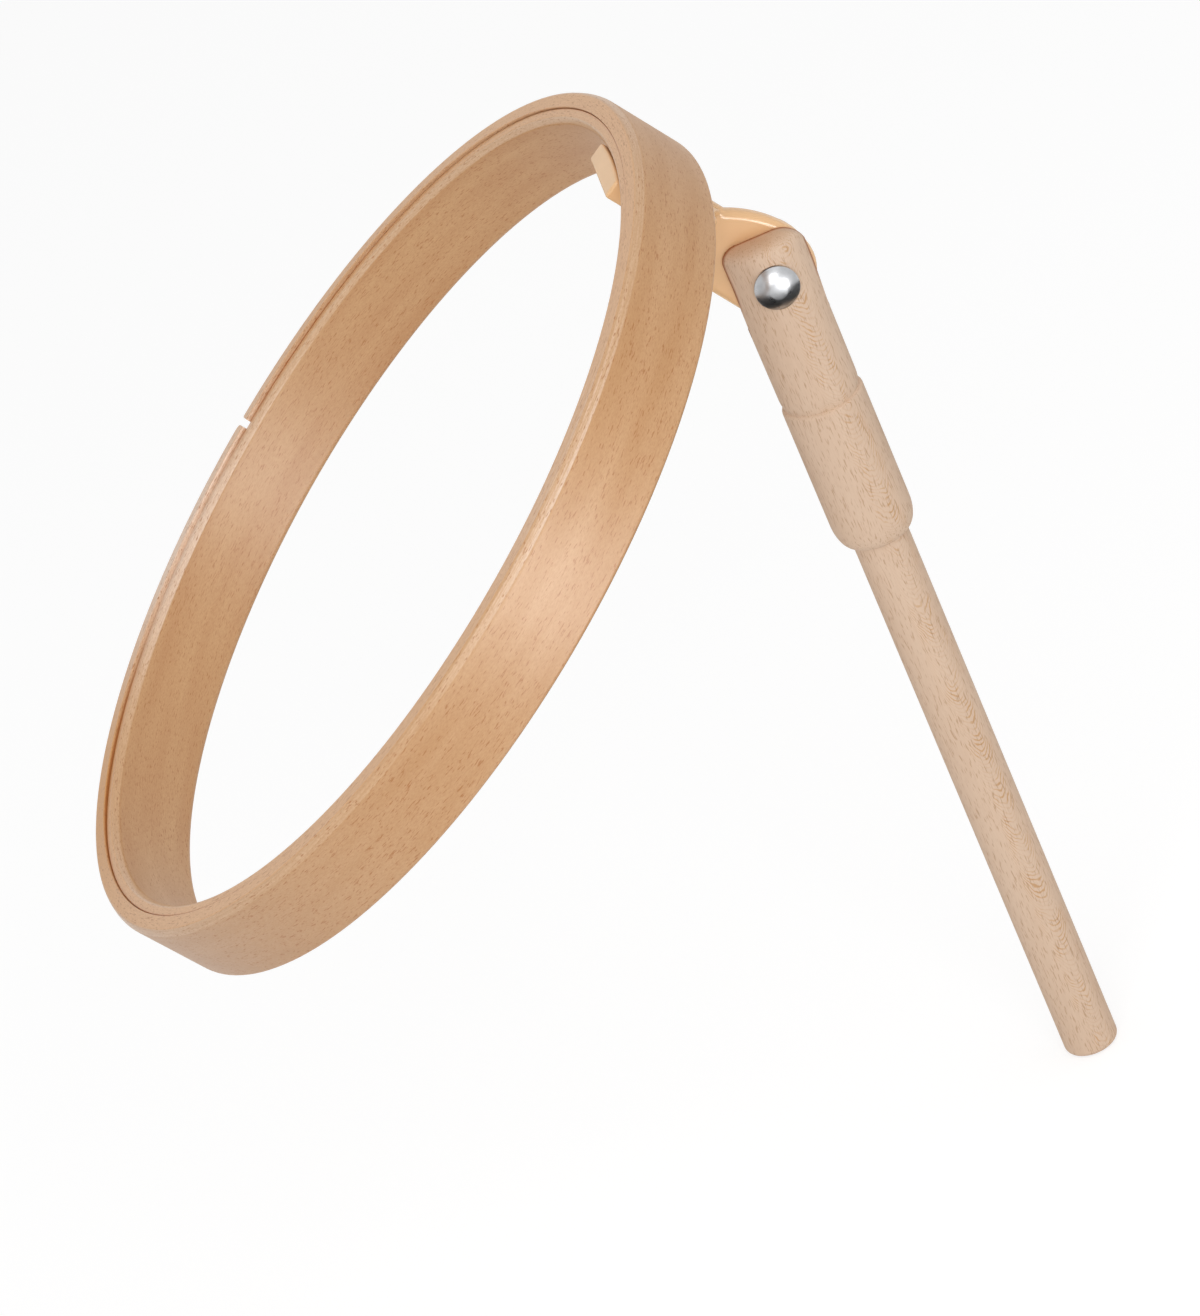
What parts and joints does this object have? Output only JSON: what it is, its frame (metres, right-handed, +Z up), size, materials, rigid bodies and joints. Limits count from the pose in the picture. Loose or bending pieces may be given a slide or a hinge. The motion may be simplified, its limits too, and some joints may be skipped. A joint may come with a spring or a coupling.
{
  "type": "embroidery hoop",
  "caption": "Round two-band wooden embroidery hoop on a moulded hinge bracket that tilts in the forked head of a turned wooden stem with a dowel end, locked by a bolt and wing nut.",
  "frame": {"origin": "centre of the dowel's lower end face", "axes": "+Z up along the stem; X along the hinge's bolt, with the bolt's head at +X and the wing nut at -X; the hoop reaches out towards -Y and its front faces up and towards -Y"},
  "size_m": [0.254, 0.2438, 0.3155],
  "materials": {
    "bent_beech": "clear satin varnish",
    "turned_beech": "sanded, unvarnished",
    "peach_plastic": "glossy moulding",
    "bright_steel": "bright zinc plating"
  },
  "bodies": {
    "stem": {"stem": "turned_beech", "pivot_bolt": "bright_steel", "washer": "bright_steel"},
    "hoop": {"inner_ring": "bent_beech", "hinge_bracket": "peach_plastic", "bracket_screw_1": "bright_steel", "bracket_screw_2": "bright_steel"},
    "outer_ring": {"outer_ring": "bent_beech"},
    "wing_nut": {"wing_nut": "bright_steel"}
  },
  "joints": [
    {"name": "hoop_tilt", "type": "hinge", "parent": "stem", "child": "hoop", "pos_m": [0, 0, 0.2622], "axis": [1, 0, 0], "range_deg": [-123, 57]},
    {"name": "outer_ring_lift", "type": "slide", "parent": "hoop", "child": "outer_ring", "axis": [0, -0.5476, 0.8368], "range_m": [0, 0.04]},
    {"name": "wing_nut_turn", "type": "hinge", "parent": "stem", "child": "wing_nut", "pos_m": [0, 0, 0.2622], "axis": [-1, 0, 0], "continuous": true}
  ]
}
